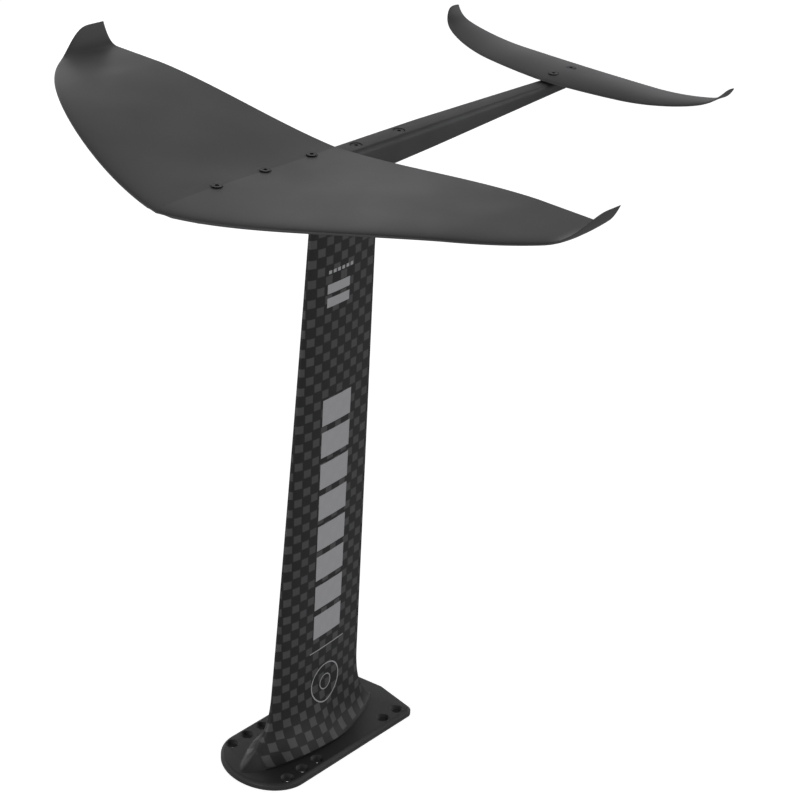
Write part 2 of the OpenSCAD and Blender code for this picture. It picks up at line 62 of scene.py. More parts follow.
plate_low, plate_high = box_mm("base_plate")
root_low, root_high = box_mm("mast_right_skin")
bar_low, bar_high = box_mm("fuselage")
wing_low, wing_high = box_mm("front_wing_upper_skin")
tail_low, tail_high = box_mm("tail_wing_upper_skin")

PLATE_T = plate_high.z
MAST_TOP = root_high.z
BAR_TOP = MAST_TOP + 30
CORE_SHARE = 0.8  # core's share of a moulding's thickness; the rest is skin

# ---- shared shape functions ----


def lerp(a, b, t):
    return a + (b - a) * t


def clamp01(t):
    return min(1.0, max(0.0, t))


def smooth(t):
    t = clamp01(t)
    return t * t * (3 - 2 * t)


def swept_in(u, power):
    """How far back a rounded tip's edge has swept, 0 at the centre and 1 at the tip."""
    return 1 - max(0.0, 1 - u**power) ** (1 / power)


def foil(s):
    """Half thickness of a symmetric section, 1 at its thickest, s from nose 0 to tail 1."""
    return 10 * (0.2969 * math.sqrt(s) - 0.126 * s - 0.3516 * s**2 + 0.2843 * s**3 - 0.1015 * s**4)


def nose_spaced(count):
    """Chordwise stations from 0 to 1, close together at the nose."""
    return [1 - math.cos(math.pi / 2 * k / count) for k in range(count + 1)]


def tip_spaced(half, count):
    """Spanwise stations from tip to tip, close together at the tips."""
    side = [half * math.sin(math.pi / 2 * k / count) for k in range(1, count + 1)]
    return [-x for x in reversed(side)] + [0.0] + side


# ---- mesh helpers ----


def new_object(name, mesh):
    piece = bpy.data.objects.new(name, mesh)
    bpy.context.scene.collection.objects.link(piece)
    return piece


def finish_mesh(bm, name, sharp_degrees=35.0):
    """Turns a bmesh in millimetres into an object in metres, smooth but for its real edges."""
    bmesh.ops.recalc_face_normals(bm, faces=bm.faces)
    bmesh.ops.scale(bm, vec=(MM, MM, MM), verts=bm.verts)
    mesh = bpy.data.meshes.new(name)
    bm.to_mesh(mesh)
    bm.free()
    mesh.shade_smooth()
    mesh.set_sharp_from_angle(angle=math.radians(sharp_degrees))
    return new_object(name, mesh)


def shell(name, outer, inner, uv=None, sharp_degrees=35.0):
    """A closed solid between two grids of points. Points where the grids meet are shared."""
    bm = bmesh.new()
    rows, cols = len(outer), len(outer[0])
    a = [[bm.verts.new(p) for p in row] for row in outer]
    b = [
        [a[i][j] if (outer[i][j] - inner[i][j]).length < 1e-4 else bm.verts.new(inner[i][j])
         for j in range(cols)]
        for i in range(rows)
    ]
    layer = bm.loops.layers.uv.new("weave") if uv else None
    where = {}
    if uv:
        for i in range(rows):
            for j in range(cols):
                where[a[i][j]] = where[b[i][j]] = uv[i][j]

    def face(corners):
        kept = list(dict.fromkeys(corners))
        if len(kept) < 3 or bm.faces.get(kept):
            return
        made = bm.faces.new(kept)
        if layer:
            for loop in made.loops:
                loop[layer].uv = where[loop.vert]

    for i in range(rows - 1):
        for j in range(cols - 1):
            over = [a[i][j], a[i][j + 1], a[i + 1][j + 1], a[i + 1][j]]
            under = [b[i][j], b[i + 1][j], b[i + 1][j + 1], b[i][j + 1]]
            if set(over) != set(under):
                face(over)
                face(under)
    for j in range(cols - 1):
        face([a[0][j + 1], a[0][j], b[0][j], b[0][j + 1]])
        face([a[-1][j], a[-1][j + 1], b[-1][j + 1], b[-1][j]])
    for i in range(rows - 1):
        face([a[i + 1][-1], a[i][-1], b[i][-1], b[i + 1][-1]])
        face([a[i][0], a[i + 1][0], b[i + 1][0], b[i][0]])
    return finish_mesh(bm, name, sharp_degrees)


def rings_solid(name, rings, sharp_degrees=35.0):
    """A closed solid through a stack of rings with the same number of points."""
    bm = bmesh.new()
    loops = [[bm.verts.new(p) for p in ring] for ring in rings]
    count = len(loops[0])
    for low, high in zip(loops, loops[1:]):
        for k in range(count):
            nxt = (k + 1) % count
            bm.faces.new([low[k], low[nxt], high[nxt], high[k]])
    bm.faces.new(list(reversed(loops[0])))
    bm.faces.new(loops[-1])
    return finish_mesh(bm, name, sharp_degrees)


def cut(piece, tools, sharp_degrees=35.0):
    """Cuts the tool solids out of a piece, for good."""
    for tool in tools:
        change = piece.modifiers.new("cut", "BOOLEAN")
        change.object = tool
        change.operation = "DIFFERENCE"
        change.solver = "EXACT"
    bpy.context.view_layer.update()
    graph = bpy.context.evaluated_depsgraph_get()
    mesh = bpy.data.meshes.new_from_object(piece.evaluated_get(graph))
    piece.modifiers.clear()
    old = piece.data
    piece.data = mesh
    bpy.data.meshes.remove(old)
    mesh.set_sharp_from_angle(angle=math.radians(sharp_degrees))
    for tool in tools:
        bpy.data.objects.remove(tool)


def crease_centre(piece):
    """Keeps the shallow fold along a wing's centre line crisp."""
    mesh = piece.data
    for edge in mesh.edges:
        if all(abs(mesh.vertices[v].co.x) < 1e-6 for v in edge.vertices):
            edge.use_edge_sharp = True


def turned(name, profile, x, y, steps=64):
    """A solid of revolution about a vertical axis at x, y, from (radius, height) points."""
    rings = [
        [Vector((x + r * math.cos(a), y + r * math.sin(a), z))
         for a in (2 * math.pi * k / steps for k in range(steps))]
        for r, z in profile
    ]
    return rings_solid(name, rings)


def stand_for(piece, node, surface):
    """Puts a rebuilt piece in a CAD node's place."""
    piece.data.materials.clear()
    piece.data.materials.append(surface)
    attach(piece, "root")
    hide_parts(node)
    return piece


# ---- shader helpers ----


class Shader:
    """A principled material and short names for the nodes that feed it."""

    def __init__(self, name, **settings):
        self.material = bpy.data.materials.new(name)
        self.material.use_nodes = True
        self.tree = self.material.node_tree
        self.tree.nodes.clear()
        self.out = self.tree.nodes.new("ShaderNodeOutputMaterial")
        self.bsdf = self.tree.nodes.new("ShaderNodeBsdfPrincipled")
        self.join(self.bsdf.outputs[0], self.out.inputs["Surface"])
        for key, value in settings.items():
            self.bsdf.inputs[key.replace("_", " ")].default_value = value

    def join(self, a, b):
        self.tree.links.new(a, b)

    def put(self, socket, value):
        if isinstance(value, bpy.types.NodeSocket):
            self.join(value, socket)
        else:
            socket.default_value = value

    def math(self, operation, a, b=0.0, c=None):
        node = self.tree.nodes.new("ShaderNodeMath")
        node.operation = operation
        for socket, value in zip(node.inputs, (a, b) if c is None else (a, b, c)):
            self.put(socket, value)
        return node.outputs[0]

    def spread(self, value, low, high, to_low=0.0, to_high=1.0):
        node = self.tree.nodes.new("ShaderNodeMapRange")
        node.interpolation_type = "SMOOTHSTEP"
        for socket, v in zip(node.inputs, (value, low, high, to_low, to_high)):
            self.put(socket, v)
        return node.outputs[0]

    def vary(self, noise, low=0.0, high=1.0):
        """Spreads the usual range of a noise over low to high."""
        return self.spread(noise, 0.3, 0.7, low, high)

    def mix(self, share, a, b):
        node = self.tree.nodes.new("ShaderNodeMix")
        node.data_type = "RGBA"
        self.put(node.inputs["Factor"], share)
        self.put(node.inputs[6], a)
        self.put(node.inputs[7], b)
        return node.outputs[2]

    def mix_value(self, share, a, b):
        node = self.tree.nodes.new("ShaderNodeMix")
        self.put(node.inputs["Factor"], share)
        self.put(node.inputs[2], a)
        self.put(node.inputs[3], b)
        return node.outputs[0]

    def place(self, kind="Object"):
        node = self.tree.nodes.new("ShaderNodeTexCoord")
        split = self.tree.nodes.new("ShaderNodeSeparateXYZ")
        self.join(node.outputs[kind], split.inputs[0])
        return node.outputs[kind], split.outputs

    def vector(self, x, y, z):
        node = self.tree.nodes.new("ShaderNodeCombineXYZ")
        for socket, v in zip(node.inputs, (x, y, z)):
            self.put(socket, v)
        return node.outputs[0]

    def noise(self, where, scale, detail=2.0, roughness=0.5):
        node = self.tree.nodes.new("ShaderNodeTexNoise")
        self.join(where, node.inputs["Vector"])
        node.inputs["Scale"].default_value = scale
        node.inputs["Detail"].default_value = detail
        node.inputs["Roughness"].default_value = roughness
        return node.outputs["Fac"]

    def bump(self, height, distance, strength=1.0):
        node = self.tree.nodes.new("ShaderNodeBump")
        node.inputs["Distance"].default_value = distance
        node.inputs["Strength"].default_value = strength
        self.join(height, node.inputs["Height"])
        self.join(node.outputs[0], self.bsdf.inputs["Normal"])

    def colour(self, value):
        self.put(self.bsdf.inputs["Base Color"], value)

    def rough(self, value):
        self.put(self.bsdf.inputs["Roughness"], value)


def grey(value):
    return (value, value, value * 1.02, 1.0)


# ---- materials ----

CHECK_U, CHECK_V = 11.8 * MM, 11.45 * MM  # one square of the mast's spread-tow cloth
PALE_U, PALE_V = -5.81 * MM, -3.84 * MM  # middle of a pale square
# the pale squares' grey is painted sheen on the real checker: it stands in for the fibres'
# reflection
DARK_TOW, PALE_SHEEN_TOW, PLAIN_TOW, PRINT = 0.018, 0.058, 0.038, 0.42  # greys of the mast


def painted_wing(name, dark, pale):
    """Matte dark grey paint: faint speckle, soft cloudiness and an orange-peel skin."""
    s = Shader(name)
    where, _ = s.place()
    speckle = s.noise(where, 1800.0, 2.0)
    cloud = s.noise(where, 9.0, 3.0)
    tone = s.math("ADD", s.math("MULTIPLY", speckle, 0.5), s.math("MULTIPLY", cloud, 0.5))
    s.colour(s.mix(s.spread(tone, 0.35, 0.65), grey(dark), grey(pale)))
    s.rough(s.vary(cloud, 0.46, 0.54))
    s.bump(s.noise(where, 700.0, 2.0), 0.00002)
    return s.material


def anodised_bar():
    """Satin dark grey anodising with fine lines drawn along the bar."""
    s = Shader("bar_anodised", Metallic=0.65)
    where, parts = s.place()
    drawn = s.noise(s.vector(s.math("MULTIPLY", parts[0], 2600.0),
                             s.math("MULTIPLY", parts[1], 40.0),
                             s.math("MULTIPLY", parts[2], 2600.0)), 1.0, 2.0)
    cloud = s.noise(where, 14.0, 3.0)
    s.colour(s.mix(s.vary(cloud), grey(0.075), grey(0.089)))
    s.rough(s.vary(drawn, 0.48, 0.58))
    s.bump(drawn, 0.00001)
    return s.material


def satin_plate():
    """Satin black coat with a fine grain and slight rubbing."""
    s = Shader("plate_coat")
    where, _ = s.place()
    grain = s.noise(where, 1500.0, 2.0)
    cloud = s.noise(where, 20.0, 3.0)
    s.colour(s.mix(s.vary(cloud), grey(0.022), grey(0.030)))
    s.rough(s.vary(grain, 0.40, 0.52))
    s.bump(grain, 0.00002)
    return s.material


def black_steel():
    s = Shader("screw_steel", Metallic=1.0)
    where, _ = s.place()
    cloud = s.noise(where, 500.0, 3.0)
    s.colour(s.mix(s.vary(cloud), grey(0.028), grey(0.05)))
    s.rough(s.vary(cloud, 0.38, 0.50))
    s.bump(cloud, 0.00001)
    return s.material


def plain_metal(name, value, low, high):
    s = Shader(name, Metallic=1.0)
    where, _ = s.place()
    cloud = s.noise(where, 260.0, 4.0)
    s.colour(s.mix(s.vary(cloud), grey(value * 0.85), grey(value)))
    s.rough(s.vary(cloud, low, high))
    s.bump(cloud, 0.00002)
    return s.material


def rim_painted_shade():
    """Near-black colour on the root's upright edge, painted shade for the shadow under the rim,
    lightly pitted.
    """
    s = Shader("rim_painted_shade", Specular_IOR_Level=0.2)
    where, _ = s.place()
    pits = s.noise(where, 900.0, 3.0)
    s.colour(s.mix(pits, grey(0.005), grey(0.011)))
    s.rough(s.vary(pits, 0.55, 0.7))
    s.bump(pits, 0.00002)
    return s.material


def core_foam():
    """Cream structural foam with closed cells."""
    s = Shader("core_foam", Roughness=0.8)
    where, _ = s.place()
    cells = s.tree.nodes.new("ShaderNodeTexVoronoi")
    s.join(where, cells.inputs["Vector"])
    cells.inputs["Scale"].default_value = 900.0
    wall = cells.outputs["Distance"]
    s.colour(s.mix(s.spread(wall, 0.1, 0.6), (0.52, 0.43, 0.24, 1), (0.66, 0.56, 0.34, 1)))
    s.bump(wall, 0.0002)
    return s.material


def tow_carbon():
    """Unidirectional carbon: fine dark fibres side by side."""
    s = Shader("tow_carbon", Roughness=0.4)
    _, parts = s.place()
    fibre = s.noise(s.vector(s.math("MULTIPLY", parts[0], 60.0),
                             s.math("MULTIPLY", parts[1], 4000.0),
                             s.math("MULTIPLY", parts[2], 60.0)), 1.0, 2.0)
    s.colour(s.mix(fibre, grey(0.012), grey(0.03)))
    s.bump(fibre, 0.00002)
    return s.material


def mast_carbon():
    """Checkerboard spread-tow cloth under satin resin, with plain grey graphics printed on it. The
    checker is real; the pale squares' lighter colour is painted sheen, for the light the fibres
    reflect.
    """
    s = Shader("mast_carbon", Coat_Weight=0.12, Coat_Roughness=0.4)
    _, uv = s.place("UV")
    cu = s.math("MULTIPLY_ADD", s.math("SUBTRACT", uv[0], PALE_U), 1 / CHECK_U, 0.5)
    cv = s.math("MULTIPLY_ADD", s.math("SUBTRACT", uv[1], PALE_V), 1 / CHECK_V, 0.5)
    iu, iv = s.math("FLOOR", cu), s.math("FLOOR", cv)
    fu, fv = s.math("SUBTRACT", cu, iu), s.math("SUBTRACT", cv, iv)
    odd = s.math("FLOORED_MODULO", s.math("ADD", iu, iv), 2.0)
    # a pale square stops short of its cell's edges, where the dark tows wrap round it
    edge_u = s.math("MINIMUM", fu, s.math("SUBTRACT", 1.0, fu))
    edge_v = s.math("MINIMUM", fv, s.math("SUBTRACT", 1.0, fv))
    inside = s.spread(s.math("MINIMUM", edge_u, edge_v), 0.03, 0.13)
    even = s.math("SUBTRACT", 1.0, odd)
    # pale marks the squares that get the painted sheen
    pale = s.math("MULTIPLY", s.math("MULTIPLY", even, inside), cloth_shown(s))
    # fibres run along one square and across the next
    along = s.noise(s.vector(s.math("MULTIPLY", cu, 1.5), s.math("MULTIPLY", cv, 45.0), iu), 1.0)
    across = s.noise(s.vector(s.math("MULTIPLY", cu, 45.0), s.math("MULTIPLY", cv, 1.5), iv), 1.0)
    fibre = s.mix_value(odd, along, across)
    patch = s.tree.nodes.new("ShaderNodeTexWhiteNoise")
    s.join(s.vector(iu, iv, 0.0), patch.inputs["Vector"])
    tone = s.math("MULTIPLY_ADD", s.math("SUBTRACT", patch.outputs["Value"], 0.5), 0.14,
                  s.math("MULTIPLY_ADD", s.math("SUBTRACT", fibre, 0.5), 0.4, 1.0))
    toned = s.tree.nodes.new("ShaderNodeVectorMath")
    toned.operation = "SCALE"
    s.join(s.mix(pale, grey(DARK_TOW), grey(PALE_SHEEN_TOW)), toned.inputs[0])
    s.join(tone, toned.inputs["Scale"])
    cloth = s.mix(cloth_shown(s), grey(PLAIN_TOW), toned.outputs[0])
    mark = graphics_mask(s)
    s.colour(s.mix(mark, cloth, grey(PRINT)))
    s.rough(s.mix_value(mark, s.vary(fibre, 0.42, 0.52), 0.5))
    s.put(s.bsdf.inputs["Specular IOR Level"], s.mix_value(pale, 0.25, 0.5))
    s.bump(s.math("MULTIPLY", fibre, inside), 0.00002)
    return s.material


def cloth_shown(s):
    """1 on the mast, fading to 0 where the root runs out plain onto the plate."""
    _, at = s.place()
    front = s.spread(at[1], -106 * MM, -97 * MM)
    rear = s.spread(at[1], 72 * MM, 84 * MM, 1.0, 0.0)
    foot = s.spread(at[2], 9.5 * MM, 11.5 * MM)
    return s.math("MULTIPLY", s.math("MULTIPLY", front, rear), foot)


def graphics_mask(s):
    """1 where the mast carries its printed bars, line, ring and ticks. They spell nothing."""
    _, at = s.place()
    y, z = at[1], at[2]

    def between(value, low, high):
        above = s.math("GREATER_THAN", value, low)
        return s.math("MULTIPLY", above, s.math("LESS_THAN", value, high))

    def box(y0, y1, z0, z1):
        return s.math("MULTIPLY", between(y, y0 * MM, y1 * MM), between(z, z0 * MM, z1 * MM))

    def join(masks):
        total = masks[0]
        for m in masks[1:]:
            total = s.math("MAXIMUM", total, m)
        return total

    bars = [box(-21, 27, 146 + 40 * k, 178 + 40 * k) for k in range(8)]
    line = box(-26, 35, 127.2, 128.6)
    ticks = [box(-20 + 7 * k, -15.5 + 7 * k, 608, 612) for k in range(6)]
    block = [box(-21, 15, 569, 580), box(-21, 15, 585, 596)]
    dy = s.math("SUBTRACT", y, 3.5 * MM)
    dz = s.math("SUBTRACT", z, 77 * MM)
    reach = s.math("SQRT", s.math("ADD", s.math("MULTIPLY", dy, dy), s.math("MULTIPLY", dz, dz)))
    rings = [between(reach, 24 * MM, 25.5 * MM), between(reach, 9 * MM, 10.2 * MM)]
    return join(bars + [line] + ticks + block + rings)


WING_PAINT = painted_wing("wing_paint", 0.052, 0.065)
TAIL_PAINT = painted_wing("tail_paint", 0.064, 0.078)
BAR_FINISH = anodised_bar()
PLATE_COAT = satin_plate()
SCREW_STEEL = black_steel()
CARBON_CLOTH = mast_carbon()
CARBON_TOW = tow_carbon()
# near-black painted shade for the root's upright edge
RIM_PAINTED_SHADE = rim_painted_shade()
FOAM = core_foam()
ALLOY = plain_metal("foot_alloy", 0.35, 0.35, 0.45)
INSERT_STEEL = plain_metal("insert_steel", 0.55, 0.25, 0.35)

# ---- front wing ----

WING_HALF = wing_high.x
WING_NOSE = wing_low.y
WING_TAIL = wing_high.y
SEAT_HALF = 16.0
WING_Z = MAST_TOP + 29.4  # leading edge at the centre
WING_SWEEP, WING_ROUND, WING_TIP_POWER = 53, 171, 1.862  # straight and rounded share of the sweep
WING_RISE, WING_RISE_END, WING_RISE_LINEAR = 28.3, 262, 0.32  # from the centre to the flat panel
WING_CURL, WING_CURL_FROM, WING_CURL_POWER = 23.4, 330.5, 2.7  # the tip, turned up
WING_LIFT, WING_LIFT_END = 5.3, 273  # trailing edge above leading edge at the centre
WING_CAMBER = -0.015  # share of the chord
WING_THICK = 0.063  # share of the chord
WING_SOLID_FROM = 330  # the tips beyond this have no core
TRAILING_HALF = 0.45  # half thickness of a wing's trailing edge


def wing_point(x, s, side):
    u = min(1.0, abs(x) / WING_HALF)
    nose = WING_NOSE + WING_SWEEP * u + WING_ROUND * swept_in(u, WING_TIP_POWER)
    chord = WING_TAIL - nose
    t = clamp01(abs(x) / WING_RISE_END)
    rise = WING_RISE * (WING_RISE_LINEAR * t + (1 - WING_RISE_LINEAR) * smooth(t))
    c = max(0.0, (abs(x) - WING_CURL_FROM) / (WING_HALF - WING_CURL_FROM))
    lift = WING_LIFT * (1 - smooth(abs(x) / WING_LIFT_END)) * s
    bow = WING_CAMBER * chord * 4 * s * (1 - s)
    half = chord * WING_THICK / 2 * foil(s) + TRAILING_HALF * s
    z = WING_Z + rise + WING_CURL * c**WING_CURL_POWER + lift + bow + side * half
    return nose + chord * s, z


def wing_faces(point, xs, stations, seat_half):
    """Upper and lower grids of a wing. The lower face doesn't change across its seat."""
    upper, lower = [], []
    for x in xs:
        upper.append([Vector((x, *point(x, s, 1))) for s in stations])
        lower.append([Vector((x, *point(x if s == 0 else max(abs(x), seat_half), s, -1)))
                      for s in stations])
    return upper, lower


def core_room(s, solid_nose, over):
    """How much of the core fits at s: none at the nose and none at the trailing edge."""
    return min(smooth((s - solid_nose) / over), smooth((0.9 - s) / 0.1))


def drawn_in(face, other, xs, stations, solid_from):
    """Inner face of a skin: closed on the middle near the edges and beyond solid_from."""
    inner = []
    for i, x in enumerate(xs):
        row = []
        for j, s in enumerate(stations):
            middle = (face[i][j] + other[i][j]) / 2
            room = min(core_room(s, 0.01, 0.05), smooth((solid_from - abs(x)) / 12))
            row.append(middle.lerp(face[i][j], CORE_SHARE * room))
        inner.append(row)
    return inner


SHANK_R, HEAD_R, CONE_DEPTH = 3.25, 5.85, 3.45  # an M6 countersunk screw, with clearance


def screw_cutters(node, gap, depth):
    """Tools that clear each screw of a CAD screw node, with a dark gap round its head."""
    return [
        turned("tool", [(SHANK_R, z - 40), (SHANK_R, z - CONE_DEPTH), (HEAD_R + gap, z - depth),
                        (HEAD_R + gap, z + 30)], 0, y)
        for y, z in screw_tops(node)
    ]


def screw_tops(node):
    """Centre along Y and head height of each screw in a CAD screw node."""
    points = [v.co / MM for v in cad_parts[node].data.vertices]
    ys = sorted(p.y for p in points)
    groups, start = [], ys[0]
    for a, b in zip(ys, ys[1:]):
        if b - a > 10:  # no vertex in between, so the next screw starts
            groups.append((start, a))
            start = b
    groups.append((start, ys[-1]))
    return [((a + b) / 2, max(p.z for p in points if a <= p.y <= b)) for a, b in groups]


def make_wing(prefix, screws, point, half, seat_half, solid_from, steps, paint):
    """Both skins of a wing: how many steps it has across each half span and along the chord."""
    span_steps, chord_steps = steps
    xs = sorted(set(tip_spaced(half, span_steps) + [-seat_half, seat_half]))
    stations = nose_spaced(chord_steps)
    upper, lower = wing_faces(point, xs, stations, seat_half)
    upper_in = drawn_in(upper, lower, xs, stations, solid_from)
    lower_in = drawn_in(lower, upper, xs, stations, solid_from)
    top = shell(prefix + "_upper", upper, upper_in)
    cut(top, screw_cutters(screws, 0.5, 1.6))
    crease_centre(top)
    low = shell(prefix + "_lower", lower, lower_in)
    cut(low, screw_cutters(screws, 0.12, 0.62))
    stand_for(top, prefix + "_upper_skin", paint)
    stand_for(low, prefix + "_lower_skin", paint)


make_wing("front_wing", "wing_screws", wing_point, WING_HALF, SEAT_HALF, WING_SOLID_FROM,
          (60, 48), WING_PAINT)

# ---- tail wing ----

TAIL_HALF = tail_high.x
TAIL_NOSE = tail_low.y
TAIL_TAIL = tail_high.y
TAIL_SEAT_HALF = 11.0
TAIL_Z = MAST_TOP + 30.2
TAIL_SWEEP, TAIL_ROUND, TAIL_TIP_POWER = 14.3, 57.7, 1.976
TAIL_CURL_FROM, TAIL_CURL_SOFT = 94, 14  # slow share of the curl
TAIL_HOOK, TAIL_HOOK_POWER = 11.7, 16.3  # quick share, close to the tip
TAIL_DROP, TAIL_DROP_END = 2.2, 255  # trailing edge below leading edge at the centre
TAIL_CAMBER = 0.039
TAIL_HALF_T = 3.5
TAIL_SOLID_FROM = 180


def tail_point(x, s, side):
    u = min(1.0, abs(x) / TAIL_HALF)
    nose = TAIL_NOSE + TAIL_SWEEP * u + TAIL_ROUND * swept_in(u, TAIL_TIP_POWER)
    chord = TAIL_TAIL - nose
    c = max(0.0, (abs(x) - TAIL_CURL_FROM) / (TAIL_HALF - TAIL_CURL_FROM))
    curl = TAIL_CURL_SOFT * c**2 + TAIL_HOOK * c**TAIL_HOOK_POWER
    drop = TAIL_DROP * (1 - smooth(abs(x) / TAIL_DROP_END)) * s
    bow = TAIL_CAMBER * chord * 4 * s * (1 - s)
    half = TAIL_HALF_T * chord / (TAIL_TAIL - TAIL_NOSE) * foil(s) + TRAILING_HALF * s
    return nose + chord * s, TAIL_Z + curl - drop + bow + side * half


make_wing("tail_wing", "tail_screws", tail_point, TAIL_HALF, TAIL_SEAT_HALF, TAIL_SOLID_FROM,
          (48, 36), TAIL_PAINT)

# ---- mast ----

ROOT_EDGE, ROOT_EDGE_MIN = 4.0, 0.4  # upright edge round the root, and where it runs out
FLARE_TOP = 92.0
NOSE_FLARE, TAIL_FLARE = (0.8, 2.55), (0.8, 2.3)  # softness and power of the flare's curve
SIDE_SOFT, SIDE_POWER = (0.65, 1), 2.3  # softness without and with an upright edge
NOSE_LOW, NOSE_TRAVEL, NOSE_BOW = -83.5, 41, 0.15  # leading edge: foot, travel by the top, bow
TAIL_LOW, TAIL_TRAVEL = 67.3, 9.3  # trailing edge
MAST_T_LOW, MAST_T_TOP = 19, 14
ROOT_HALF, ROOT_FRONT_POWER, ROOT_BACK_POWER = 36, 0.68, 0.95  # plan of the root
RIM_FRONT, RIM_REAR = (0.05, 0.25), (0.45, 0.68)  # where the upright edge rises and falls
RIM_NOSE, RIM_TAIL = -104.0, 24.0  # beyond these the root's edge has run out onto the plate
MAST_EDGE_HALF = 0.8  # half thickness of the mast's trailing edge


def flare(t, soft, power):
    """How far the flare still reaches out: 1 at the root's edge, 0 at the flare's top."""
    return (1 - t**soft) ** power


def rim(s):
    """1 where the root has an upright edge, 0 where it runs out onto the plate."""
    rises, falls = RIM_FRONT, RIM_REAR
    return (smooth((s - rises[0]) / (rises[1] - rises[0]))
            * smooth((falls[1] - s) / (falls[1] - falls[0])))


def mast_nose(z, t):
    up = z / MAST_TOP
    nose = NOSE_LOW + NOSE_TRAVEL * up * (1 + NOSE_BOW * (1 - up))
    return lerp(nose, root_low.y, flare(t, *NOSE_FLARE))


def mast_tail(z, t):
    return lerp(TAIL_LOW - TAIL_TRAVEL * z / MAST_TOP, root_high.y, flare(t, *TAIL_FLARE))


def root_plan(s):
    """Half width of the root, 1 at its middle."""
    return (1 - (1 - 2 * s) ** 2) ** (ROOT_FRONT_POWER if s < 0.5 else ROOT_BACK_POWER)


def mast_point(ring, s, side):
    """A ring is how far up the flare it lies and its height, None where it follows the rim."""
    t, z = ring
    if z is None:
        z = lerp(PLATE_T + lerp(ROOT_EDGE_MIN, ROOT_EDGE, rim(s)), FLARE_TOP, t)
    body = lerp(MAST_T_LOW, MAST_T_TOP, z / MAST_TOP) / 2 * foil(s)
    wide = flare(t, lerp(*SIDE_SOFT, rim(s)), SIDE_POWER)
    half = lerp(body, ROOT_HALF * root_plan(s), wide) + MAST_EDGE_HALF * s
    return Vector((side * half, lerp(mast_nose(z, t), mast_tail(z, t), s), z))


CLOTH_LEAN, CLOTH_PLUMB_Z = 0.0076, 390.0  # how the laid cloth leans, and where it doesn't
CLOTH_BOW, CLOTH_MID_Z = 3.2e-5, 335.0  # how its rows stretch away from mid height
CLOTH_SHIFT, FLARE_SHIFT = -0.9, 0.7  # of the rows on the mast, and how much more on the flare
DRAPE_LENGTH, DRAPE_SHARE = 50, 0.5  # over the flare the cloth is eased sideways


def weave_map(outer, middle):
    """Place on the cloth, in metres: distance round the section from its middle, and height."""
    uv = []
    for row in outer:
        along = [row[middle].y] * len(row)
        for j in range(middle + 1, len(row)):
            along[j] = along[j - 1] + (row[j] - row[j - 1]).length
        for j in range(middle - 1, -1, -1):
            along[j] = along[j + 1] - (row[j] - row[j + 1]).length
        places = []
        for a, p in zip(along, row):
            drape = smooth((FLARE_TOP - p.z) / DRAPE_LENGTH)
            lean = CLOTH_LEAN * (p.z - CLOTH_PLUMB_Z)
            bow = CLOTH_BOW * (p.z - CLOTH_MID_Z) ** 2 + CLOTH_SHIFT + FLARE_SHIFT * drape
            places.append(((lerp(a, p.y, DRAPE_SHARE * drape) + lean) * MM, (p.z + bow) * MM))
        uv.append(places)
    return uv


def make_mast(flare_steps=44, steps=30):
    rings = [(0, PLATE_T)] + [((k / flare_steps) ** 2, None) for k in range(flare_steps)]
    rings += [(1, lerp(FLARE_TOP, MAST_TOP, k / steps)) for k in range(steps + 1)]
    stations = nose_spaced(56)
    middle = min(range(len(stations)), key=lambda j: abs(stations[j] - 0.5))
    for side, name in ((-1, "mast_left"), (1, "mast_right")):
        outer = [[mast_point(ring, s, side) for s in stations] for ring in rings]
        inner = []
        for row in outer:
            inner.append([Vector((p.x * CORE_SHARE * core_room(s, 0.02, 0.06), p.y, p.z))
                          for p, s in zip(row, stations)])
        piece = shell(name, outer, inner, weave_map(outer, middle))
        stand_for(piece, name + "_skin", CARBON_CLOTH)
        # the root's upright edge gets near-black painted shade, for the shadow under the rim
        piece.data.materials.append(RIM_PAINTED_SHADE)
        for face in piece.data.polygons:
            wall = face.center.z < (PLATE_T + ROOT_EDGE) * MM and abs(face.normal.z) < 0.3
            if wall and RIM_NOSE * MM < face.center.y < RIM_TAIL * MM:
                face.material_index = 1


make_mast()

# ---- fuselage ----

NOSE_FROM = -150.0  # where the front end starts to round off
NOSE_RISE, NOSE_HALF = 16, 4
BAR_NOSE = bar_low.y
BAR_REAR = bar_high.y
BELLY_FROM, BELLY_SLOPE = 56, 0.052
TAPER_FROM, TAPER_LENGTH = 131, 221
BAR_DROP = 2.2
BAR_TAIL_HALF = 10.5
TOP_EDGE_R, LOW_EDGE_R, SEAT_EDGE_R = 6.2, 3.8, 1.0
TAIL_SEAT_Y = (352, 400)
STEP = 0.02  # rings stand this far either side of a sudden change of section


def nose_turn(y):
    return math.sqrt(max(0.0, 1 - clamp01((NOSE_FROM - y) / (NOSE_FROM - BAR_NOSE)) ** 2))


def bar_under(y):
    return MAST_TOP + BELLY_SLOPE * max(0.0, y - BELLY_FROM) + NOSE_RISE * (1 - nose_turn(y))


def bar_over(y):
    return BAR_TOP - BAR_DROP * clamp01((y - TAPER_FROM) / TAPER_LENGTH)


def bar_half(y):
    front = lerp(NOSE_HALF, bar_high.x, nose_turn(y))
    return lerp(front, BAR_TAIL_HALF, clamp01((y - TAPER_FROM) / TAPER_LENGTH))


def under_wing(point, y, nose, tail, seat_half):
    """Height of a wing's lower face over its seat at y, or None outside the wing."""
    if not nose < y < tail:
        return None
    front = point(seat_half, 0, -1)[0]
    s = clamp01((y - front) / (tail - front))
    return point(seat_half, s, -1)[1]


